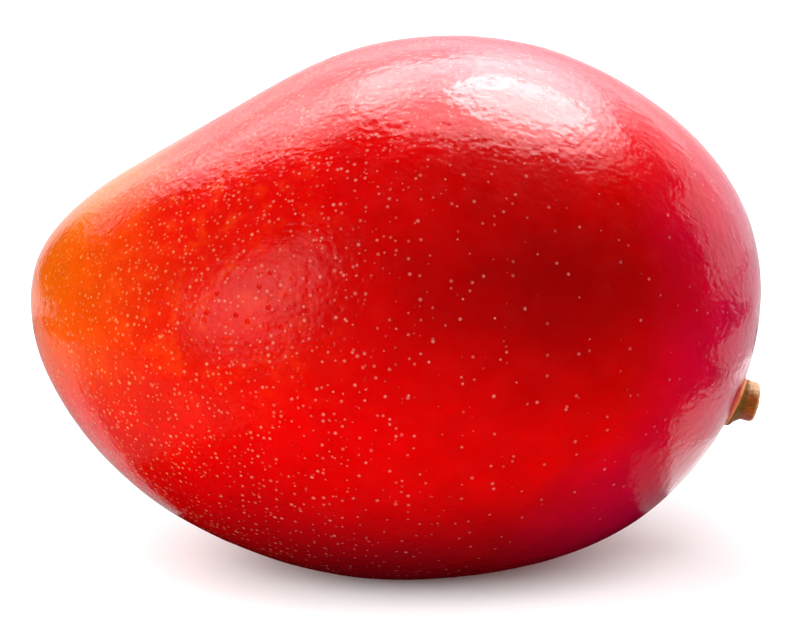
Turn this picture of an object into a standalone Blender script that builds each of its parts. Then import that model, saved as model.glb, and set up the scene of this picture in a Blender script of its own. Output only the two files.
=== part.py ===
"""A whole mango with the stub of its picked stem, lying on its side.

Metres, +Z up. The stem end points to +X and the beak to -X, and the cheeks face -Y and +Y.
The origin is in the plane of the flat rest spot, under the middle of the fruit's box.
"""

import math

import bmesh
import bpy
import numpy as np
from mathutils import Matrix, Vector

# Driving dimensions. The fruit is drawn round a core point inside it.
# Distance from the core to the skin in the upright middle plane: the first one is at the stem,
# and each next one is a sixteenth of a turn further, over the crest, the beak and the belly.
OUTLINE_RADII = (
    0.0524,  # stem end
    0.0543,
    0.0525,  # shoulder
    0.0484,
    0.0458,  # crest
    0.0443,
    0.0443,  # slope to the beak
    0.0475,
    0.0596,  # brow of the beak
    0.0650,  # beak
    0.0581,
    0.0509,
    0.0465,
    0.0447,  # belly
    0.0464,
    0.0497,
)
STEM_ANGLE = math.radians(-17.5)  # direction from the core to the stem, from +X up towards +Z
HALF_DEPTH = 0.043  # from the middle plane to a cheek
REST_PRESS = 0.001  # how far the fruit's weight flattens its lowest point

# Soft strokes on that form: direction from the core, angle reached, and height over the skin.
STROKES = (
    ((-0.89, 0.00, 0.46), math.radians(11), -0.0006),  # sinus above the beak
    ((-0.99, 0.00, 0.15), math.radians(7), 0.0005),  # brow over the tip of the beak
    ((-0.56, -0.82, 0.02), math.radians(24), -0.0008),  # flatter cheek beside the beak
    ((-0.50, 0.86, -0.10), math.radians(26), -0.0007),  # the same on the other cheek
)

FACES_ALONG_EDGE = 20  # quads along each edge of the cube that is rounded into the fruit

# The stub of the stem stands on a flared foot, which sits in a shallow socket in the fruit.
STEM_SIDESTEP = -0.0025  # the stem's place across the middle plane
STEM_RISE = 0.0005  # and up the skin from the outline's first point
STUB_TILT = math.radians(-12.5)  # direction of the stub, from +X up towards +Z
STUB_RADIUS = 0.0030
FOOT_RADIUS = 0.0043
SOCKET_DEPTH = 0.0012
CLEARANCE = 0.0003
# Along the stub: distance over the skin, and thickness as a share of STUB_RADIUS.
STUB_PROFILE = (
    (0.0003, FOOT_RADIUS / STUB_RADIUS),
    (0.0008, 1.22),
    (0.0014, 1.07),
    (0.0023, 1.01),
    (0.0030, 0.97),
    (0.0034, 0.88),
    (0.0036, 0.72),
)

SKIN_RED = (0.62, 0.02, 0.03, 1.0)
WOOD_BROWN = (0.26, 0.13, 0.04, 1.0)


def clear_scene():
    """Removes everything that the scene holds."""
    for item in list(bpy.data.objects):
        bpy.data.objects.remove(item, do_unlink=True)


def make_collection(name, hidden=False):
    """Adds a collection to the scene."""
    collection = bpy.data.collections.new(name)
    collection.hide_render = hidden
    bpy.context.scene.collection.children.link(collection)
    return collection


def make_material(name, color, roughness):
    """A plain Principled material."""
    material = bpy.data.materials.new(name)
    material.use_nodes = True
    shader = material.node_tree.nodes["Principled BSDF"]
    shader.inputs["Base Color"].default_value = color
    shader.inputs["Roughness"].default_value = roughness
    shader.inputs["Metallic"].default_value = 0.0
    return material


def outline_waves():
    """The outline as waves: 1/r^2 is the real part of the sum of wave k times its turn to the power k."""
    samples = np.array(OUTLINE_RADII) ** -2
    waves = np.fft.rfft(samples) / len(samples)
    waves[1:-1] *= 2
    return waves


WAVES = outline_waves()


def skin_point(direction):
    """The point of the skin in a direction from the core.

    In the middle plane, turn is a point of the unit circle and the sum of the waves is the
    outline. Away from that plane turn shrinks, so the waves fade out towards the two cheeks
    and the form goes over into an ellipsoid with no seam.
    """
    start = complex(math.cos(STEM_ANGLE), -math.sin(STEM_ANGLE))
    turn = complex(direction.x, direction.z) * start
    level = direction.y**2 / HALF_DEPTH**2 + WAVES[0].real * abs(turn) ** 2
    for k in range(1, len(WAVES)):
        level += (WAVES[k] * turn**k).real
    radius = level**-0.5
    for centre, reach, height in STROKES:
        closeness = (direction.dot(Vector(centre).normalized()) - 1) / (1 - math.cos(reach))
        radius += height * math.exp(closeness)
    return direction * radius


def skin_normal(direction):
    """The outward normal of the skin, from two short steps along it."""
    step = 0.01
    along = direction.cross(Vector((0, 1, 0))).normalized()
    across = direction.cross(along).normalized()
    first = skin_point((direction + step * along).normalized())
    second = skin_point((direction - step * along).normalized())
    third = skin_point((direction + step * across).normalized())
    fourth = skin_point((direction - step * across).normalized())
    normal = (first - second).cross(third - fourth).normalized()
    return normal if normal.dot(direction) > 0 else -normal


def make_fruit(collection):
    """A cube cut into a grid, rounded into a sphere and drawn out to the skin."""
    shape = bmesh.new()
    bmesh.ops.create_cube(shape, size=2)
    cuts = FACES_ALONG_EDGE - 1
    bmesh.ops.subdivide_edges(shape, edges=shape.edges, cuts=cuts, use_grid_fill=True)
    for vertex in shape.verts:
        # The tangent spaces the grid evenly once it is on the sphere.
        corner = [math.tan(share * math.pi / 4) for share in vertex.co]
        vertex.co = skin_point(Vector(corner).normalized())
    floor = min(vertex.co.z for vertex in shape.verts) + REST_PRESS
    for vertex in shape.verts:
        vertex.co.z = max(vertex.co.z, floor)
    mesh = bpy.data.meshes.new("fruit")
    shape.to_mesh(mesh)
    shape.free()
    mesh.shade_smooth()
    mesh.materials.append(make_material("mango_skin", SKIN_RED, 0.35))
    fruit = bpy.data.objects.new("fruit", mesh)
    collection.objects.link(fruit)
    return fruit


def stem_seat():
    """The middle of the stem's foot on the skin, and the skin's normal there."""
    level = Vector((math.cos(STEM_ANGLE), 0, math.sin(STEM_ANGLE)))
    upward = Vector((-math.sin(STEM_ANGLE), 0, math.cos(STEM_ANGLE)))
    step = upward * STEM_RISE + Vector((0, STEM_SIDESTEP, 0))
    direction = (level * OUTLINE_RADII[0] + step).normalized()
    return skin_point(direction), skin_normal(direction)


def cut_socket(fruit, cutters):
    """A shallow round socket in the fruit for the stem's foot."""
    seat, normal = stem_seat()
    height = 2 * FOOT_RADIUS
    shape = bmesh.new()
    bmesh.ops.create_cone(
        shape,
        cap_ends=True,
        segments=24,
        radius1=FOOT_RADIUS + CLEARANCE,
        radius2=FOOT_RADIUS + CLEARANCE,
        depth=height,
        matrix=Matrix.Translation((0, 0, height / 2 - SOCKET_DEPTH)),
    )
    mesh = bpy.data.meshes.new("stem_socket")
    shape.to_mesh(mesh)
    shape.free()
    cutter = bpy.data.objects.new("stem_socket", mesh)
    cutter.rotation_euler = normal.to_track_quat("Z", "Y").to_euler()
    cutter.location = seat
    cutter.hide_render = True
    cutter.display_type = "WIRE"
    cutters.objects.link(cutter)
    socket = fruit.modifiers.new("stem_socket", "BOOLEAN")
    socket.operation = "DIFFERENCE"
    socket.object = cutter
    return cutter


def make_stem_stub(collection):
    """A short tube that follows the skin's normal in its foot and the stub's own tilt above it."""
    seat, normal = stem_seat()
    tilt = Vector((math.cos(STUB_TILT), 0, math.sin(STUB_TILT)))
    route = [(seat + normal * (CLEARANCE - SOCKET_DEPTH), FOOT_RADIUS / STUB_RADIUS)]
    first = STUB_PROFILE[0][0]
    for distance, thickness in STUB_PROFILE:
        route.append((seat + normal * first + tilt * (distance - first), thickness))
    curve = bpy.data.curves.new("stem_stub", "CURVE")
    curve.dimensions = "3D"
    curve.bevel_depth = STUB_RADIUS
    curve.bevel_resolution = 6
    curve.use_fill_caps = True
    spline = curve.splines.new("POLY")
    spline.points.add(len(route) - 1)
    for point, (place, thickness) in zip(spline.points, route):
        point.co = (*place, 1)
        point.radius = thickness
    curve.materials.append(make_material("stem_wood", WOOD_BROWN, 0.7))
    stub = bpy.data.objects.new("stem_stub", curve)
    collection.objects.link(stub)
    return stub


def set_origin(fruit, others):
    """Moves everything so that the world's origin is under the middle of the fruit's box."""
    low = Vector(min(v.co[axis] for v in fruit.data.vertices) for axis in range(3))
    high = Vector(max(v.co[axis] for v in fruit.data.vertices) for axis in range(3))
    shift = Vector((-(low.x + high.x) / 2, -(low.y + high.y) / 2, -low.z))
    for item in [fruit, *others]:
        item.location += shift


def main():
    clear_scene()
    mango = make_collection("mango")
    cutters = make_collection("cutters", hidden=True)
    fruit = make_fruit(mango)
    socket = cut_socket(fruit, cutters)
    stub = make_stem_stub(mango)
    set_origin(fruit, [socket, stub])


main()
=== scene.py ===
"""Looks of the mango: fine skin and stem, their materials, soft studio light, floor and camera."""

import math

import bmesh
import bpy
import numpy as np
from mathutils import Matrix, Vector, noise


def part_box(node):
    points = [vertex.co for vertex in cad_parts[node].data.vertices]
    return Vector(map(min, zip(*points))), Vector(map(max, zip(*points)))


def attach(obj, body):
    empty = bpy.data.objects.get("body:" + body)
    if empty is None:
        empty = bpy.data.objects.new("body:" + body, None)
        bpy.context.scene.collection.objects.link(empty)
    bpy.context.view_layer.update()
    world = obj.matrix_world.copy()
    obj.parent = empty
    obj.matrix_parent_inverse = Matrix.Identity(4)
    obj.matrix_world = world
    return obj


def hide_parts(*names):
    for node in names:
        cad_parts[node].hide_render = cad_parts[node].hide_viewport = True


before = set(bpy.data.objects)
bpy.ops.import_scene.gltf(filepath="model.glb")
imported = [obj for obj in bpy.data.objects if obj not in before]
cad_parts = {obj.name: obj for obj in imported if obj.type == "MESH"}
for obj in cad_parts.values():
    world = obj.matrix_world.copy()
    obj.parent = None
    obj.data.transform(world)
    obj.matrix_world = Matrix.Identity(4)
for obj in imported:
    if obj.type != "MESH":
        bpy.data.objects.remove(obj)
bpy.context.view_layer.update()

MM = 0.001

# ---- The fruit's form, the same as the CAD part's, in metres ----
OUTLINE_RADII = (
    0.0524,  # stem end
    0.0543,
    0.0525,  # shoulder
    0.0484,
    0.0458,  # crest
    0.0443,
    0.0443,  # slope to the beak
    0.0475,
    0.0596,  # brow of the beak
    0.0650,  # beak
    0.0581,
    0.0509,
    0.0465,
    0.0447,  # belly
    0.0464,
    0.0497,
)
STEM_ANGLE = math.radians(-17.5)
HALF_DEPTH = 0.043
REST_PRESS = 0.001  # how far the lowest point is pressed flat
# Strokes that raise or lower the skin: direction from the core, reach and height.
STROKES = (
    ((-0.89, 0.00, 0.46), math.radians(11), -0.0006),  # sinus above the beak
    ((-0.99, 0.00, 0.15), math.radians(7), 0.0005),  # brow over the tip of the beak
    ((-0.56, -0.82, 0.02), math.radians(24), -0.0008),  # flatter cheek beside the beak
    ((-0.50, 0.86, -0.10), math.radians(26), -0.0007),  # the same on the other cheek
)
STEM_SIDESTEP = -0.0025  # the seat's step along Y from the outline's first point
STEM_RISE = 0.0005  # and up the skin from it
STUB_TILT = math.radians(-12.5)
STUB_AXIS = Vector((math.cos(STUB_TILT), 0, math.sin(STUB_TILT)))
STUB_UP = Vector((-math.sin(STUB_TILT), 0, math.cos(STUB_TILT)))

OUTLINE_STEPS = 1440  # points on the outline that its box is measured from

# ---- Fine skin ----
FACES_ALONG_EDGE = 112  # quads along each edge of the cube that is rounded into the fruit
STEM_ZONE = 0.115  # share of the cube's half edge round the stem that gets a finer grid
STEM_CUTS = 3  # cuts of each edge there
SHEET_SHARE = 0.985  # share of its place on the unwrapped sheet that each side of the cube fills
SKIN_INSET = 0.12 * MM  # keeps the waves inside the CAD skin
# Waves in the skin: length and height.
SKIN_WAVES = (
    (14.0 * MM, 0.075 * MM),
    (6.5 * MM, 0.045 * MM),
    (3.2 * MM, 0.020 * MM),
)
WAVE_START = Vector((17.3, 5.1, 9.7))  # in wave lengths, so that the waves don't line up at the origin
CALM_WIDTH = 4 * MM  # the waves fade in over this distance from the socket
LIP_RADIUS = 4.60 * MM  # the raised edge of skin round the stem's foot
LIP_HEIGHT = 0.18 * MM
LIP_WIDTH = (0.30 * MM, 1.10 * MM)  # towards the stem and away from it
SOCKET_RADIUS = 4.3 * MM
SOCKET_DEPTH = 0.7 * MM
SOCKET_EDGE = 0.4 * MM  # width of the socket's sloping wall
SEAT_REACH = 3 * MM  # the lip and the socket reach this far over and under the skin


def outline_waves():
    """The outline as waves: 1/r^2 is the real part of the sum of wave k times its turn to the power k."""
    samples = np.array(OUTLINE_RADII) ** -2
    waves = np.fft.rfft(samples) / len(samples)
    waves[1:-1] *= 2
    return waves


WAVES = outline_waves()


def skin_points(directions):
    """The points of the skin in these directions from the core, one row each."""
    turn = (directions[:, 0] + 1j * directions[:, 2]) * np.exp(-1j * STEM_ANGLE)
    level = (directions[:, 1] / HALF_DEPTH) ** 2 + WAVES[0].real * abs(turn) ** 2
    for k in range(1, len(WAVES)):
        level += (WAVES[k] * turn**k).real
    radius = level**-0.5
    for centre, reach, height in STROKES:
        towards = directions @ np.array(Vector(centre).normalized())
        radius += height * np.exp((towards - 1) / (1 - math.cos(reach)))
    return directions * radius[:, None]


def skin_point(direction):
    """One point of the skin."""
    return Vector(skin_points(np.array([direction]))[0])


def skin_normal(direction):
    """The outward normal of the skin, from two short steps along it."""
    step = 0.01  # a share of the distance from the core
    along = direction.cross(Vector((0, 1, 0))).normalized()
    across = direction.cross(along).normalized()
    first = skin_point((direction + step * along).normalized())
    second = skin_point((direction - step * along).normalized())
    third = skin_point((direction + step * across).normalized())
    fourth = skin_point((direction - step * across).normalized())
    normal = (first - second).cross(third - fourth).normalized()
    return normal if normal.dot(direction) > 0 else -normal


def core_place():
    """Where the core is in the frame: the CAD fruit's box holds the drawn fruit."""
    low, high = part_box("fruit")
    turns = np.linspace(0, 2 * math.pi, OUTLINE_STEPS, endpoint=False)
    ring = np.stack([np.cos(turns), 0 * turns, np.sin(turns)], axis=1)
    outline = skin_points(ring)
    middle = (outline[:, 0].min() + outline[:, 0].max()) / 2
    floor = outline[:, 2].min() + REST_PRESS
    return Vector(((low[0] + high[0]) / 2 - middle, (low[1] + high[1]) / 2, low[2] - floor))


CORE = core_place()


def stem_seat():
    """The middle of the stem's foot on the skin, in the frame, and the skin's normal there."""
    level = Vector((math.cos(STEM_ANGLE), 0, math.sin(STEM_ANGLE)))
    upward = Vector((-math.sin(STEM_ANGLE), 0, math.cos(STEM_ANGLE)))
    step = upward * STEM_RISE + Vector((0, STEM_SIDESTEP, 0))
    direction = (level * OUTLINE_RADII[0] + step).normalized()
    return CORE + skin_point(direction), skin_normal(direction)


SEAT, SEAT_NORMAL = stem_seat()


# ---- Node helpers ----
CELL_RANDOMNESS = 0.9


class Nodes:
    """A short way to write a material's node tree."""

    def __init__(self, name):
        self.material = bpy.data.materials.new(name)
        self.material.use_nodes = True
        self.tree = self.material.node_tree
        self.shader = self.tree.nodes["Principled BSDF"]
        place = self.tree.nodes.new("ShaderNodeTexCoord")
        self.place = place.outputs["Object"]

    def put(self, socket, value):
        """Links an output to the socket, or sets its value."""
        if isinstance(value, bpy.types.NodeSocket):
            self.tree.links.new(value, socket)
        else:
            socket.default_value = value

    def math(self, operation, first, second=0.0):
        node = self.tree.nodes.new("ShaderNodeMath")
        node.operation = operation
        self.put(node.inputs[0], first)
        self.put(node.inputs[1], second)
        return node.outputs[0]

    def vector(self, operation, first, second=(0, 0, 0)):
        node = self.tree.nodes.new("ShaderNodeVectorMath")
        node.operation = operation
        self.put(node.inputs[0], first)
        self.put(node.inputs[1], second)
        return node.outputs["Value" if operation in ("LENGTH", "DISTANCE", "DOT_PRODUCT") else 0]

    def scale(self, vector, amount):
        node = self.tree.nodes.new("ShaderNodeVectorMath")
        node.operation = "SCALE"
        self.put(node.inputs[0], vector)
        self.put(node.inputs["Scale"], amount)
        return node.outputs[0]

    def ramp(self, value, start, end, low=0.0, high=1.0):
        """Goes smoothly from low at start to high at end, and no further."""
        node = self.tree.nodes.new("ShaderNodeMapRange")
        node.interpolation_type = "SMOOTHSTEP"
        self.put(node.inputs["Value"], value)
        self.put(node.inputs["From Min"], start)
        self.put(node.inputs["From Max"], end)
        self.put(node.inputs["To Min"], low)
        self.put(node.inputs["To Max"], high)
        return node.outputs["Result"]

    def mix(self, share, first, second, blend="MIX"):
        node = self.tree.nodes.new("ShaderNodeMix")
        node.data_type = "RGBA"
        node.blend_type = blend
        self.put(node.inputs["Factor"], share)
        self.put(node.inputs["A"], first)
        self.put(node.inputs["B"], second)
        return node.outputs["Result"]

    def noise(self, place, length, detail, rough=0.5, warp=0.0, output="Fac"):
        """Noise from 0 to 1 whose waves are about this long, in metres."""
        node = self.tree.nodes.new("ShaderNodeTexNoise")
        self.put(node.inputs["Vector"], place)
        self.put(node.inputs["Scale"], 1 / length)
        self.put(node.inputs["Detail"], detail)
        self.put(node.inputs["Roughness"], rough)
        self.put(node.inputs["Distortion"], warp)
        return node.outputs[output]

    def cells(self, place, size):
        """Random cells of this size: the distance to the nearest point, in metres, and each cell's colour."""
        node = self.tree.nodes.new("ShaderNodeTexVoronoi")
        self.put(node.inputs["Vector"], place)
        self.put(node.inputs["Scale"], 1 / size)
        self.put(node.inputs["Randomness"], CELL_RANDOMNESS)
        return self.math("MULTIPLY", node.outputs["Distance"], size), node.outputs["Color"]

    def parts(self, vector):
        """The vector's X, Y and Z."""
        node = self.tree.nodes.new("ShaderNodeSeparateXYZ")
        self.put(node.inputs[0], vector)
        return node.outputs

    def bump(self, height):
        """The normal of a surface with this height, in metres."""
        node = self.tree.nodes.new("ShaderNodeBump")
        self.put(node.inputs["Height"], height)
        node.inputs["Strength"].default_value = 1.0
        node.inputs["Distance"].default_value = 1.0
        return node.outputs["Normal"]


def linear(red, green, blue):
    """A colour given as it looks on a screen, from 0 to 255, as the linear colour that a shader takes."""
    shares = [part / 255 for part in (red, green, blue)]
    bent = [s / 12.92 if s <= 0.04045 else ((s + 0.055) / 1.055) ** 2.4 for s in shares]
    return (*bent, 1.0)


# ---- Mango skin ----
# Broad washes of colour: middle from the core and reach along X, Y and Z, in millimetres, then colour and
# strength.
WASHES = (
    ((-62, -24, 4), (62, 46, 31), (250, 44, 6), 0.75),  # orange red flank
    ((-66, -8, 10), (34, 44, 29), (254, 110, 0), 0.95),  # orange beak
    ((-56, 0, 25), (28, 34, 15), (255, 150, 20), 0.75),  # yellow ridge over the beak
    ((20, -40, 12), (54, 34, 30), (156, 0, 0), 0.92),  # dark cheek: partly the skin's deeper red, partly painted shade where less light falls
    ((57, 6, 0), (37, 62, 62), (176, 0, 94), 0.9),  # crimson stem end
    ((-4, -12, -48), (62, 54, 40), (148, 0, 24), 0.95),  # dark crimson belly: partly the skin's colour, partly painted shade underneath
    ((46, -16, -32), (40, 46, 29), (214, 0, 74), 0.95),  # brighter crimson under the stem end
    ((22, 0, 44), (60, 40, 26), (204, 0, 70), 0.85),  # crimson crest
)
WASH_DRIFT = 16 * MM  # how far noise moves the edges of the washes
WASH_DRIFT_LENGTH = 22 * MM
BASE_RED = (230, 0, 0)
CLOUD_ORANGE = (255, 104, 24)
RING_RED = (110, 0, 8)
PORE_YELLOW = (255, 176, 84)  # at the beak
PORE_CREAM = (255, 158, 142)  # on the flank
PORE_PINK = (250, 120, 130)  # at the stem end
DULL_PINK = (190, 70, 80)
LIP_ORANGE = (255, 158, 122)
BEAK_TIP = (-65, 0, -6)  # from the core, in millimetres

# The two sorts of pores: spacing, radius, the share of cells that hold one at the first place along X, the
# share at the second place, and the two places.
FINE_PORES = (0.92 * MM, 0.38 * MM, 0.95, 0.0, -60 * MM, 24 * MM)
BROAD_PORES = (1.6 * MM, 0.40 * MM, 0.78, 0.36, -50 * MM, 30 * MM)
PORE_SIZES = (0.6, 1.08)  # the smallest and the largest, as shares of the radius
FINE_PORE_STRENGTH = 0.8
PORE_STRENGTH = 0.75
RING_STRENGTH = 0.06
CREST_FOOT = 52 * MM  # height over the floor from which pores grow more frequent
CREST_TOP = 80 * MM
CREST_SHIFT = 24 * MM  # at the crest they are as frequent as this much nearer to the beak

# The skin's fine relief. Where there are two depths, the first is the one nearer to the stem.
WRINKLE_LENGTH = 1.3 * MM
WRINKLE_STRETCH = 0.45  # of the space along the wrinkles, so that they are drawn out
PATCH_LENGTH = 9 * MM
WRINKLE_DEPTHS = (0.05 * MM, 0.12 * MM)  # in calm patches and in rough ones
PEEL_LENGTH = 1.5 * MM
PEEL_DEPTH = 0.09 * MM
GRAIN_LENGTH = 0.8 * MM
GRAIN_DEPTHS = (0.022 * MM, 0.05 * MM)
PIT_SPACING = 1.6 * MM
PIT_RADIUS = 0.5 * MM
PIT_DEPTHS = (0.02 * MM, 0.12 * MM)
PIT_SHARE = 0.75  # of the cells that hold one
PIT_START = (0.05, 0.03, 0.01)  # keeps the pits' cells apart from the pores'
PORE_HEIGHT = 0.006 * MM


def washed_colour(nodes, place):
    """Red with washes of orange, dark red and crimson that run into each other; the dark red of cheek and
    belly is partly painted shade.
    """
    drift = nodes.noise(place, WASH_DRIFT_LENGTH, detail=3, output="Color")
    drift = nodes.vector("SUBTRACT", drift, (0.5, 0.5, 0.5))
    drift = nodes.vector("MULTIPLY", drift, (WASH_DRIFT, WASH_DRIFT, WASH_DRIFT))
    spot = nodes.vector("ADD", place, drift)
    colour = linear(*BASE_RED)
    for middle, reach, shade, strength in WASHES:
        away = nodes.vector("SUBTRACT", spot, CORE + Vector(middle) * MM)
        away = nodes.vector("DIVIDE", away, Vector(reach) * MM)
        share = nodes.ramp(nodes.vector("LENGTH", away), 1.0, 0.0, 0.0, strength)
        colour = nodes.mix(share, colour, linear(*shade))
    return colour


def mottled_colour(nodes, place, colour):
    """Adds darker mottles all over, and orange clouds high on the flank beside the beak."""
    mottle = nodes.noise(place, 7 * MM, detail=4, rough=0.6)
    shade = nodes.ramp(mottle, 0.25, 0.75, 0.84, 1.0)
    colour = nodes.mix(1.0, colour, shade, "MULTIPLY")
    x, _, z = nodes.parts(place)
    cloud = nodes.noise(place, 3.5 * MM, detail=4, rough=0.6)
    cloud = nodes.ramp(cloud, 0.48, 0.72, 0.0, 0.22)
    cloud = nodes.math("MULTIPLY", cloud, nodes.ramp(x, 0.0, -35 * MM))
    cloud = nodes.math("MULTIPLY", cloud, nodes.ramp(z, 30 * MM, 50 * MM))
    return nodes.mix(cloud, colour, linear(*CLOUD_ORANGE))


def pores(nodes, place, spacing, radius, most, least, fade_from, fade_to):
    """Round pores: how much of one is here, from 0 to 1, and how much of the darker ring round it.

    They are spaced like random cells, and the share of cells that hold one goes from most at
    fade_from to least at fade_to, both measured along X.
    """
    distance, random = nodes.cells(place, spacing)
    chance, chance_of_size, chance_of_strength = nodes.parts(random)
    x, _, z = nodes.parts(place)
    along = nodes.math("SUBTRACT", x, nodes.ramp(z, CREST_FOOT, CREST_TOP, 0.0, CREST_SHIFT))
    share = nodes.ramp(along, fade_from, fade_to, most, least)
    here = nodes.math("LESS_THAN", chance, share)
    smallest, largest = PORE_SIZES
    size = nodes.ramp(chance_of_size, 0.0, 1.0, smallest * radius, largest * radius)
    inside = nodes.math("DIVIDE", distance, size)
    pore = nodes.ramp(inside, 1.0, 0.0)
    ring = nodes.ramp(inside, 2.0, 1.0)
    here = nodes.math("MULTIPLY", here, nodes.ramp(chance_of_strength, 0.0, 1.0, 0.5, 1.0))
    return nodes.math("MULTIPLY", pore, here), nodes.math("MULTIPLY", ring, here)


def pored_colour(nodes, place, colour):
    """Adds the pale pores. Gives the colour, and how much of a pore is here."""
    fine_pore, fine_ring = pores(nodes, place, *FINE_PORES)
    broad_pore, broad_ring = pores(nodes, place, *BROAD_PORES)
    ring = nodes.math("MAXIMUM", fine_ring, broad_ring)
    colour = nodes.mix(nodes.math("MULTIPLY", ring, RING_STRENGTH), colour, linear(*RING_RED))
    pore = nodes.math("MAXIMUM", nodes.math("MULTIPLY", fine_pore, FINE_PORE_STRENGTH), broad_pore)
    x = nodes.parts(place)[0]
    pale = nodes.mix(nodes.ramp(x, -56 * MM, 0.0), linear(*PORE_YELLOW), linear(*PORE_CREAM))
    pale = nodes.mix(nodes.ramp(x, 15 * MM, 45 * MM), pale, linear(*PORE_PINK))
    return nodes.mix(nodes.math("MULTIPLY", pore, PORE_STRENGTH), colour, pale), pore


def seat_colour(nodes, place, colour):
    """Adds the dull skin round the stem, and the pale orange inside of the lip."""
    to_seat = nodes.vector("DISTANCE", place, SEAT)
    dull = nodes.ramp(to_seat, LIP_RADIUS + 1.6 * MM, LIP_RADIUS + 0.2 * MM, 0.0, 0.35)
    colour = nodes.mix(dull, colour, linear(*DULL_PINK))
    lip = nodes.ramp(to_seat, LIP_RADIUS + 0.36 * MM, LIP_RADIUS + 0.16 * MM)
    return nodes.mix(nodes.math("MULTIPLY", lip, 0.95), colour, linear(*LIP_ORANGE))


def lengthwise(nodes, place, stretch):
    """The place in a space that is drawn out along the lines on the skin from the beak to the stem."""
    beak = CORE + Vector(BEAK_TIP) * MM
    axis = (SEAT - beak).normalized()
    away = nodes.vector("SUBTRACT", place, beak)
    along = nodes.vector("DOT_PRODUCT", away, axis)
    across = nodes.vector("SUBTRACT", away, nodes.scale(axis, along))
    reach = nodes.vector("LENGTH", across)
    spread = nodes.math("DIVIDE", 52 * MM, nodes.math("ADD", reach, 12 * MM))
    forth = nodes.scale(axis, nodes.math("MULTIPLY", along, stretch))
    return nodes.vector("ADD", nodes.scale(across, spread), forth)


def wrinkles(nodes, place):
    """The height of the wrinkles, which are shallow on the beak and at the stem end."""
    x = nodes.parts(place)[0]
    drawn = lengthwise(nodes, place, WRINKLE_STRETCH)
    wrinkle = nodes.noise(drawn, WRINKLE_LENGTH, detail=1.2, rough=0.45, warp=0.6)
    patch = nodes.noise(place, PATCH_LENGTH, detail=2)
    depth = nodes.ramp(patch, 0.3, 0.7, *WRINKLE_DEPTHS)
    depth = nodes.math("MULTIPLY", depth, nodes.ramp(x, 22 * MM, 48 * MM, 1.0, 0.6))
    height = nodes.math("MULTIPLY", wrinkle, depth)
    return nodes.math("MULTIPLY", height, nodes.ramp(x, -45 * MM, 10 * MM, 0.30, 0.95))


def pits(nodes, place):
    """The depth of the small dents, which are deep on the flank beside the beak only."""
    distance, random = nodes.cells(nodes.vector("ADD", place, PIT_START), PIT_SPACING)
    here = nodes.math("LESS_THAN", nodes.parts(random)[0], PIT_SHARE)
    pit = nodes.math("MULTIPLY", nodes.ramp(distance, PIT_RADIUS, 0.0), here)
    x, _, z = nodes.parts(place)
    depth = nodes.ramp(x, 5 * MM, -15 * MM, *PIT_DEPTHS)
    depth = nodes.math("MULTIPLY", depth, nodes.ramp(z, 52 * MM, 62 * MM, 1.0, 0.1))
    return nodes.math("MULTIPLY", pit, depth)


def skin_relief(nodes, place, pore):
    """The height of the skin's fine relief, in metres."""
    height = wrinkles(nodes, place)
    peel = nodes.noise(place, PEEL_LENGTH, detail=1.0)
    height = nodes.math("ADD", height, nodes.math("MULTIPLY", peel, PEEL_DEPTH))
    grain = nodes.noise(place, GRAIN_LENGTH, detail=1.0)
    depth = nodes.ramp(nodes.parts(place)[0], 10 * MM, -30 * MM, *GRAIN_DEPTHS)
    height = nodes.math("ADD", height, nodes.math("MULTIPLY", grain, depth))
    height = nodes.math("SUBTRACT", height, pits(nodes, place))
    return nodes.math("ADD", height, nodes.math("MULTIPLY", pore, PORE_HEIGHT))


def skin_material():
    """Waxy mango skin: washes of colour, pale pores, fine wrinkles."""
    nodes = Nodes("mango_skin")
    place = nodes.place
    colour = washed_colour(nodes, place)
    colour = mottled_colour(nodes, place, colour)
    colour, pore = pored_colour(nodes, place, colour)
    colour = seat_colour(nodes, place, colour)
    nodes.put(nodes.shader.inputs["Base Color"], colour)
    gloss = nodes.noise(place, 3 * MM, detail=3)
    nodes.put(nodes.shader.inputs["Roughness"], nodes.ramp(gloss, 0.2, 0.8, 0.12, 0.21))
    nodes.shader.inputs["IOR"].default_value = 1.5
    nodes.shader.inputs["Specular IOR Level"].default_value = 0.5
    nodes.put(nodes.shader.inputs["Normal"], nodes.bump(skin_relief(nodes, place, pore)))
    return nodes.material


def face_side(corner):
    """Which side of the cube a point of it is on, from 0 to 5, and the axis that this side lies across."""
    axis = max(range(3), key=lambda i: abs(corner[i]))
    side = 2 * axis + (corner[axis] > 0)
    return side, axis


def unwrap_cube(shape):
    """Lays the cube's six sides out as a 3 by 2 sheet, with a little room between them."""
    sheet = shape.loops.layers.uv.new("OFBake")
    for face in shape.faces:
        side, axis = face_side(face.calc_center_median())
        column = side % 3
        row = side // 3
        for loop in face.loops:
            across, up = [loop.vert.co[i] for i in range(3) if i != axis]
            u = (column + 0.5 + 0.5 * SHEET_SHARE * across) / 3
            v = (row + 0.5 + 0.5 * SHEET_SHARE * up) / 2
            loop[sheet].uv = (u, v)


def waves_in_skin(places):
    """Soft unevenness of the skin, in metres, at each place."""
    heights = np.zeros(len(places))
    for length, height in SKIN_WAVES:
        start = WAVE_START * length
        for i, place in enumerate(places):
            heights[i] += height * noise.noise((Vector(place) + start) / length)
    return heights


def cube_place(direction):
    """The place on the cube's grid that is drawn out in this direction."""
    largest = max(abs(part) for part in direction)
    return Vector(math.atan(part / largest) * 4 / math.pi for part in direction)


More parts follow.
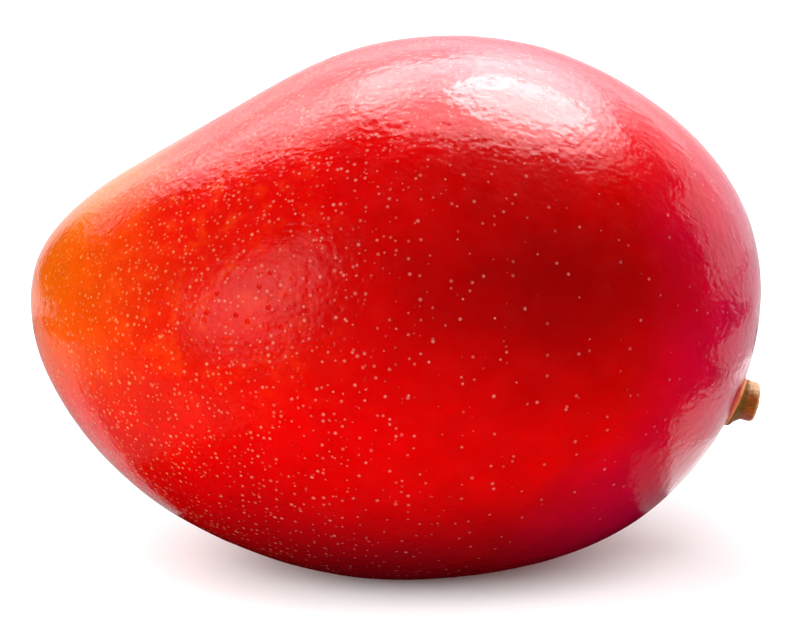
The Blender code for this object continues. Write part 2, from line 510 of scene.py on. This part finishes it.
def cut_cube():
    """A finely cut cube, with a finer grid where the stem sits."""
    shape = bmesh.new()
    bmesh.ops.create_cube(shape, size=2)
    cuts = FACES_ALONG_EDGE - 1
    bmesh.ops.subdivide_edges(shape, edges=shape.edges, cuts=cuts, use_grid_fill=True)
    middle = cube_place((SEAT - CORE).normalized())
    near = set()
    for face in shape.faces:
        away = face.calc_center_median() - middle
        if max(abs(part) for part in away) < STEM_ZONE:
            near.update(face.edges)
    bmesh.ops.subdivide_edges(shape, edges=list(near), cuts=STEM_CUTS, use_grid_fill=True)
    unwrap_cube(shape)
    return shape


def skin_lift(points, directions):
    """How far each point stands off the plain skin: the waves, the lip round the stem and its socket."""
    away = points - np.array(SEAT)
    depth = away @ np.array(SEAT_NORMAL)
    aside = np.sqrt(np.maximum((away**2).sum(axis=1) - depth**2, 0))
    calm = np.clip((aside - SOCKET_RADIUS) / CALM_WIDTH, 0, 1)
    lift = waves_in_skin(points) * calm - SKIN_INSET
    width = np.where(aside < LIP_RADIUS, *LIP_WIDTH)
    lip = LIP_HEIGHT * np.exp(-(((aside - LIP_RADIUS) / width) ** 2))
    socket = -SOCKET_DEPTH * np.clip((SOCKET_RADIUS - aside) / SOCKET_EDGE, 0, 1)
    near_stem = np.abs(depth) < SEAT_REACH
    stem_side = directions @ np.array(SEAT_NORMAL) > 0
    return lift + (lip + socket) * near_stem * stem_side


def new_piece(name, shape, material):
    """An object in the scene with this mesh and material."""
    mesh = bpy.data.meshes.new(name)
    shape.to_mesh(mesh)
    shape.free()
    mesh.shade_smooth()
    mesh.materials.append(material)
    piece = bpy.data.objects.new(name, mesh)
    bpy.context.scene.collection.objects.link(piece)
    return piece


def make_fruit_skin():
    """The cube, rounded and drawn out to the skin, with its waves and the socket of the stem."""
    shape = cut_cube()
    corners = np.tan(np.array([vertex.co for vertex in shape.verts]) * math.pi / 4)
    directions = corners / np.linalg.norm(corners, axis=1, keepdims=True)
    points = skin_points(directions) + np.array(CORE)
    points += directions * skin_lift(points, directions)[:, None]
    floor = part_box("fruit")[0][2]
    points[:, 2] = np.maximum(points[:, 2], floor)
    for vertex, point in zip(shape.verts, points):
        vertex.co = point
    piece = new_piece("fruit_skin", shape, skin_material())
    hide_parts("fruit")
    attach(piece, "root")


# ---- Stem ----
# Along the stub: distance over the skin and radius, in millimetres.
STUB_OUTLINE = (
    (-0.75, 3.60),
    (-0.70, 4.05),
    (-0.10, 4.24),
    (0.30, 4.24),
    (0.50, 4.05),
    (0.76, 3.70),
    (1.10, 3.46),
    (1.60, 3.34),
    (2.20, 3.26),
    (2.80, 3.18),
    (3.22, 3.08),
    (3.46, 2.92),
    (3.54, 2.62),
    (3.48, 2.20),
    (3.36, 1.50),
    (3.32, 0.80),
    (3.34, 0.05),
)
STUB_ASIDE = 0.5 * MM  # how far the stub stands off the middle of its foot, upwards
STUB_ASIDE_HEIGHTS = (0.3 * MM, 1.5 * MM)  # between these heights it moves there
STUB_TURN = 1.6 * MM  # up to this height it turns from the skin's normal to its own tilt
STUB_SIDES = 120
STUB_STEPS = 7  # rings between two points of the outline
STUB_LUMPS = ((2.6 * MM, 0.10), (0.9 * MM, 0.035))  # length, and height as a share of the radius
GROOVE_SHARE = 0.03  # depth of the lengthwise grooves, as a share of the radius
GROOVE_TURNS = 5
GROOVE_LENGTH = 4 * MM
END_ROUGHNESS = 0.10 * MM
END_ROUGH_LENGTH = 0.8 * MM
END_REACH = 2.5 * MM  # the roughness along the stub grows up to this height
RUST = ((150, 84, 22), (186, 88, 14))
# painted shade: the stub's underside, darker and redder
UNDERSIDE_SHADE_RED = (168, 72, 44)
# painted highlight: the stub's top, paler where the light from above falls
TOP_HIGHLIGHT_PALE = (222, 178, 128)
OLIVE = (120, 84, 20)
FIBRE_DARK = (70, 40, 14)
CUT_END = (222, 160, 112)
FOOT_ORANGE = (250, 160, 100)
FIBRE_LENGTH = 0.35 * MM
FIBRE_STRETCH = (0.35, 1.0, 1.0)  # of the space along the fibres, so that they are drawn out
FIBRE_DEPTH = 0.12 * MM


def stem_material():
    """Dry stem: olive foot, rust patches, painted shade below and highlight on top, lengthwise fibres, paler
    cut end.
    """
    nodes = Nodes("stem_wood")
    place = nodes.place
    from_seat = nodes.vector("SUBTRACT", place, SEAT)
    along = nodes.vector("DOT_PRODUCT", from_seat, STUB_AXIS)
    rise = nodes.vector("DOT_PRODUCT", from_seat, STUB_UP)
    over_skin = nodes.vector("DOT_PRODUCT", from_seat, SEAT_NORMAL)

    patches = nodes.noise(place, 1.6 * MM, detail=3)
    colour = nodes.mix(nodes.ramp(patches, 0.38, 0.62), linear(*RUST[0]), linear(*RUST[1]))
    rise = nodes.math("ADD", rise, nodes.ramp(patches, 0.3, 0.7, -0.5 * MM, 0.5 * MM))
    # Painted shade: darker, redder colour on the underside of the stub.
    colour = nodes.mix(nodes.ramp(rise, -0.6 * MM, -1.6 * MM), colour, linear(*UNDERSIDE_SHADE_RED))
    # Painted highlight: paler colour on the top of the stub, away from the foot.
    top_highlight = nodes.math("MULTIPLY", nodes.ramp(rise, 2.0 * MM, 2.8 * MM), nodes.ramp(along, 1.0 * MM, 2.0 * MM))
    colour = nodes.mix(top_highlight, colour, linear(*TOP_HIGHLIGHT_PALE))
    olive = nodes.ramp(along, 1.7 * MM, 0.9 * MM, 0.0, 0.8)
    colour = nodes.mix(olive, colour, linear(*OLIVE))
    drawn = nodes.vector("MULTIPLY", place, FIBRE_STRETCH)
    fibre = nodes.noise(drawn, FIBRE_LENGTH, detail=4, rough=0.65)
    colour = nodes.mix(nodes.ramp(fibre, 0.55, 0.30, 0.0, 0.6), colour, linear(*FIBRE_DARK))
    end = nodes.ramp(along, 2.95 * MM, 3.3 * MM, 0.0, 0.75)
    colour = nodes.mix(end, colour, linear(*CUT_END))
    foot = nodes.ramp(over_skin, 0.34 * MM, 0.20 * MM)
    colour = nodes.mix(nodes.math("MULTIPLY", foot, 0.9), colour, linear(*FOOT_ORANGE))
    nodes.put(nodes.shader.inputs["Base Color"], colour)
    nodes.put(nodes.shader.inputs["Roughness"], nodes.ramp(fibre, 0.3, 0.7, 0.75, 0.5))
    nodes.shader.inputs["Specular IOR Level"].default_value = 0.4
    height = nodes.math("MULTIPLY", fibre, FIBRE_DEPTH)
    nodes.put(nodes.shader.inputs["Normal"], nodes.bump(height))
    return nodes.material


def stub_rings():
    """The stub's outline as distance and radius of each ring, rounded between its points."""
    knots = np.array(STUB_OUTLINE) * MM
    rings = []
    for i in range(len(knots) - 1):
        before = knots[max(i - 1, 0)]
        start, end = knots[i], knots[i + 1]
        after = knots[min(i + 2, len(knots) - 1)]
        for step in range(STUB_STEPS):
            t = step / STUB_STEPS
            bend = 2 * start - 2 * end + (end - before) / 2 + (after - start) / 2
            curve = 3 * (end - start) - (end - before) - (after - start) / 2
            rings.append(start + (end - before) / 2 * t + curve * t**2 + bend * t**3)
    rings.append(knots[-1])
    return rings


def smooth_share(value, start, end):
    """Goes smoothly from 0 at start to 1 at end, and no further."""
    share = min(max((value - start) / (end - start), 0), 1)
    return share * share * (3 - 2 * share)


def stub_ring(distance, radius):
    """The points of one ring: out of round, grooved and roughened."""
    up = max(distance, 0)
    aside = STUB_UP * (STUB_ASIDE * smooth_share(up, *STUB_ASIDE_HEIGHTS))
    middle = SEAT + SEAT_NORMAL * (distance - up) + STUB_AXIS * up + aside
    axis = SEAT_NORMAL.lerp(STUB_AXIS, min(up / STUB_TURN, 1)).normalized()
    across = axis.cross(Vector((0, 1, 0))).normalized()
    side = axis.cross(across).normalized()
    ring = []
    for i in range(STUB_SIDES):
        turn = 2 * math.pi * i / STUB_SIDES
        out = across * math.cos(turn) + side * math.sin(turn)
        spot = middle + out * radius
        lumps = sum(share * noise.noise(spot / length) for length, share in STUB_LUMPS)
        round_the_stub = (math.cos(turn) * GROOVE_TURNS, math.sin(turn) * GROOVE_TURNS)
        grooves = noise.noise((*round_the_stub, distance / GROOVE_LENGTH))
        grown = radius * (1 + lumps + GROOVE_SHARE * grooves)
        rise = END_ROUGHNESS * noise.noise(spot / END_ROUGH_LENGTH) * min(up / END_REACH, 1)
        ring.append(middle + out * grown + STUB_AXIS * rise)
    return ring


def make_stem():
    """Rings along the stub, on the skin's normal below and on the stub's own tilt above."""
    shape = bmesh.new()
    rows = []
    for distance, radius in stub_rings():
        rows.append([shape.verts.new(point) for point in stub_ring(distance, radius)])
    for lower, upper in zip(rows, rows[1:]):
        for i in range(STUB_SIDES):
            j = (i + 1) % STUB_SIDES
            shape.faces.new((lower[i], lower[j], upper[j], upper[i]))
    shape.faces.new(rows[0][::-1])
    shape.faces.new(rows[-1])
    bmesh.ops.recalc_face_normals(shape, faces=shape.faces)
    low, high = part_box("stem_stub")
    for vertex in shape.verts:
        vertex.co = [min(max(part, low[i]), high[i]) for i, part in enumerate(vertex.co)]
    piece = new_piece("stem", shape, stem_material())
    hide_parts("stem_stub")
    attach(piece, "root")


# ---- Studio ----
FLOOR_WHITE = 0.92
FLOOR_HALF = 4.0
ROOM_GLOW = 0.28  # what the world gives to all but the camera
UP = (0, 0, 1)
DOWN = (0, 0, -1)

SOFTBOX_RISE = 0.5  # from the core up to the softboxes over the fruit
# The softboxes over the fruit, in units of that rise: place from the core, width, depth, then radiance.
TOP_SOFTBOXES = (
    ("top_softbox", (0.24, 0.38, 1.0), 1.24, 1.26, 3.6),
    ("top_softbox_left", (-0.16, 0.56, 0.995), 0.80, 0.80, 2.0),
    ("top_softbox_front", (-0.44, 0.40, 1.005), 0.62, 0.68, 2.0),
    ("top_softbox_right", (0.55, 0.30, 1.01), 1.02, 0.98, 1.5),
    ("top_softbox_core", (0.35, 0.28, 0.98), 0.66, 0.56, 8.0),
    ("top_softbox_limb", (-0.74, 0.72, 0.99), 0.44, 1.05, 1.7),
    ("top_softbox_back", (0.44, 1.05, 1.01), 0.78, 0.90, 2.0),
    ("top_softbox_skirt", (0.05, 1.0, 1.02), 1.90, 1.50, 1.0),
)
LIMB_TURN = math.radians(16)
CEILING = (0, 1.7, 1.03)
CEILING_SIZE = (3.6, 1.9)
# The softbox on the left in front, brighter towards its middle: azimuth, elevation, distance, width, height.
LEFT_SOFTBOXES = (
    ("left_front_softbox", -42, 16, 0.60, 0.27, 0.56),
    ("left_front_softbox_middle", -41.5, 17, 0.61, 0.21, 0.43),
    ("left_front_softbox_core", -41, 18, 0.62, 0.13, 0.27),
)
LEFT_RADIANCE = 0.42
# Patches of the white table that the skin mirrors: place, width, depth, radiance and shape.
TABLE_PATCHES = (
    ("back_table", (0.10, 0.51, 0.001), 1.4, 0.7, 0.85, "RECTANGLE"),
    ("right_table", (0.085, 0.06, 0.001), 0.075, 0.16, 0.90, "ELLIPSE"),
    ("right_near_table", (0.061, 0.018, 0.0012), 0.030, 0.090, 0.22, "ELLIPSE"),
    ("right_nearer_table", (0.064, 0.018, 0.0013), 0.022, 0.060, 0.30, "ELLIPSE"),
    ("right_far_table", (0.16, 0.09, 0.0014), 0.12, 0.16, 0.80, "ELLIPSE"),
    ("left_back_table", (-0.12, 0.075, 0.001), 0.16, 0.15, 0.50, "RECTANGLE"),
    ("left_table", (-0.16, -0.03, 0.001), 0.20, 0.12, 0.18, "RECTANGLE"),
)
# Parts of the table that light the skin: place, width, depth and radiance.
TABLE_GLOWS = (
    ("table_glow", (0.03, -0.12, 0.001), 0.30, 0.12, 2.0),
    ("table_glow_left", (-0.10, -0.03, 0.001), 0.12, 0.14, 0.5),
    ("table_glow_right", (0.12, -0.01, 0.001), 0.12, 0.16, 0.5),
)
# Broad soft lights that only the floor sees: azimuth, elevation and strength.
FLOOR_SUNS = (
    (-150, 18, 0.18),
    (-120, 60, 0.44),
    (-60, 18, 0.72),
    (-30, 18, 0.70),
    (30, 38, 0.82),
)
FLOOR_SUN_ANGLE = math.radians(60)

CAMERA_ELEVATION = 12
CAMERA_DISTANCE = 0.4208
CAMERA_LENS = 115
AIM_RIGHT = -5.05 * MM  # from the core, as the camera sees it
AIM_UP = -0.61 * MM


def direction_to(azimuth, elevation):
    """Azimuth 0 is towards the camera and 90 is to the right, as the camera sees it."""
    a, e = math.radians(azimuth), math.radians(elevation)
    return Vector((math.sin(a) * math.cos(e), -math.cos(a) * math.cos(e), math.sin(e)))


def panel(name, place, facing, width, height, radiance, shape="RECTANGLE"):
    """A light whose face looks this bright, and that only reflections see."""
    light = bpy.data.lights.new(name, "AREA")
    light.shape = shape
    light.size = width
    light.size_y = height
    area = width * height * (math.pi / 4 if shape == "ELLIPSE" else 1)
    light.energy = radiance * math.pi * area
    lamp = bpy.data.objects.new(name, light)
    bpy.context.scene.collection.objects.link(lamp)
    lamp.location = place
    lamp.rotation_euler = (-Vector(facing)).to_track_quat("Z", "Y").to_euler()
    lamp.visible_camera = False
    lamp.visible_diffuse = False
    return lamp


def softbox(name, azimuth, elevation, distance, width, height, radiance, shape="RECTANGLE"):
    """A panel that faces the fruit's core."""
    out = direction_to(azimuth, elevation)
    return panel(name, CORE + out * distance, -out, width, height, radiance, shape)


def unmirrored(lamp):
    """Makes a light one that shades the fruit and the stem, and is in no reflection."""
    lamp.visible_diffuse = True
    lamp.visible_glossy = False
    lamp.data.cycles.use_multiple_importance_sampling = False
    lamp.light_linking.receiver_collection = bpy.data.collections["fruit_only"]


def make_reflections():
    """What the glossy skin mirrors: softboxes, a ceiling, walls and a white table."""
    for name, place, width, depth, radiance in TOP_SOFTBOXES:
        spot = CORE + Vector(place) * SOFTBOX_RISE
        panel(name, spot, DOWN, width * SOFTBOX_RISE, depth * SOFTBOX_RISE, radiance, "ELLIPSE")
    bpy.data.objects["top_softbox_limb"].rotation_euler.z += LIMB_TURN
    width, depth = CEILING_SIZE
    spot = CORE + Vector(CEILING) * SOFTBOX_RISE
    panel("ceiling", spot, DOWN, width * SOFTBOX_RISE, depth * SOFTBOX_RISE, 1.0)
    for name, azimuth, elevation, distance, width, height in LEFT_SOFTBOXES:
        softbox(name, azimuth, elevation, distance, width, height, LEFT_RADIANCE, "ELLIPSE")
    panel("right_wall", CORE + Vector((0.8, 0.52, 0.23)), (-1, 0, 0), 0.8, 0.5, 1.05)
    panel("back_wall", CORE + Vector((0.1, 0.85, 0.25)), (0, -1, 0), 1.4, 0.6, 1.0)
    for name, place, width, depth, radiance, outline in TABLE_PATCHES:
        panel(name, Vector(place), UP, width, depth, radiance, outline)


def make_shading_lights():
    """What lights the skin's own colour: a window on the left, a lamp, a glow above and the table."""
    fruit_only = bpy.data.collections.new("fruit_only")
    for name in ("fruit_skin", "stem"):
        fruit_only.objects.link(bpy.data.objects[name])
    unmirrored(softbox("left_window", -72, 12, 0.8, 0.8, 0.9, 2.95))
    unmirrored(softbox("right_lamp", 105, 22, 0.8, 0.6, 0.6, 2.3))
    unmirrored(softbox("top_glow", 150, 66, 0.8, 0.8, 0.8, 5.6))
    for name, place, width, depth, radiance in TABLE_GLOWS:
        unmirrored(panel(name, Vector(place), UP, width, depth, radiance))


def make_floor_suns():
    """Lights the floor so that it is white round the fruit's soft shadow."""
    floor_only = bpy.data.collections.new("floor_only")
    floor_only.objects.link(bpy.data.objects["floor"])
    for i, (azimuth, elevation, strength) in enumerate(FLOOR_SUNS):
        name = "floor_sun_" + str(i)
        light = bpy.data.lights.new(name, "SUN")
        light.energy = math.pi * strength / FLOOR_WHITE
        light.angle = FLOOR_SUN_ANGLE
        sun = bpy.data.objects.new(name, light)
        bpy.context.scene.collection.objects.link(sun)
        sun.rotation_euler = direction_to(azimuth, elevation).to_track_quat("Z", "Y").to_euler()
        sun.visible_glossy = False
        sun.light_linking.receiver_collection = floor_only


def make_world():
    """White to the camera, a soft even glow for diffuse light, and nothing in reflections."""
    world = bpy.data.worlds.new("studio")
    bpy.context.scene.world = world
    world.use_nodes = True
    tree = world.node_tree
    back = tree.nodes["Background"]
    path = tree.nodes.new("ShaderNodeLightPath")
    level = tree.nodes.new("ShaderNodeMapRange")
    tree.links.new(path.outputs["Is Camera Ray"], level.inputs["Value"])
    level.inputs["To Min"].default_value = ROOM_GLOW
    level.inputs["To Max"].default_value = 1.0
    tree.links.new(level.outputs["Result"], back.inputs["Strength"])
    back.inputs["Color"].default_value = (1, 1, 1, 1)
    world.cycles_visibility.glossy = False


def make_floor():
    """A plain white floor that is in no reflection and gives no light to the fruit."""
    mesh = bpy.data.meshes.new("floor")
    shape = bmesh.new()
    bmesh.ops.create_grid(shape, x_segments=1, y_segments=1, size=FLOOR_HALF)
    shape.to_mesh(mesh)
    shape.free()
    nodes = Nodes("floor_white")
    nodes.shader.inputs["Base Color"].default_value = (FLOOR_WHITE, FLOOR_WHITE, FLOOR_WHITE, 1)
    nodes.shader.inputs["Roughness"].default_value = 0.9
    nodes.shader.inputs["Specular IOR Level"].default_value = 0.0
    mesh.materials.append(nodes.material)
    floor = bpy.data.objects.new("floor", mesh)
    bpy.context.scene.collection.objects.link(floor)
    floor.location.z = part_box("fruit")[0][2]
    floor.visible_glossy = False
    floor.visible_diffuse = False


def make_camera():
    """The photo's view: a long lens, a little above the level."""
    data = bpy.data.cameras.new("camera")
    data.lens = CAMERA_LENS
    data.sensor_width = 36
    data.clip_start = 0.01
    data.clip_end = 20
    camera = bpy.data.objects.new("camera", data)
    bpy.context.scene.collection.objects.link(camera)
    out = direction_to(0, CAMERA_ELEVATION)
    right = Vector((1, 0, 0))
    up = out.cross(right)
    aim = CORE + right * AIM_RIGHT + up * AIM_UP
    camera.location = aim + out * CAMERA_DISTANCE
    camera.rotation_mode = "QUATERNION"
    camera.rotation_quaternion = out.to_track_quat("Z", "Y")
    bpy.context.scene.camera = camera


make_fruit_skin()
make_stem()
make_world()
make_floor()
make_reflections()
make_shading_lights()
make_floor_suns()
make_camera()
bpy.context.scene.view_settings.view_transform = "Standard"
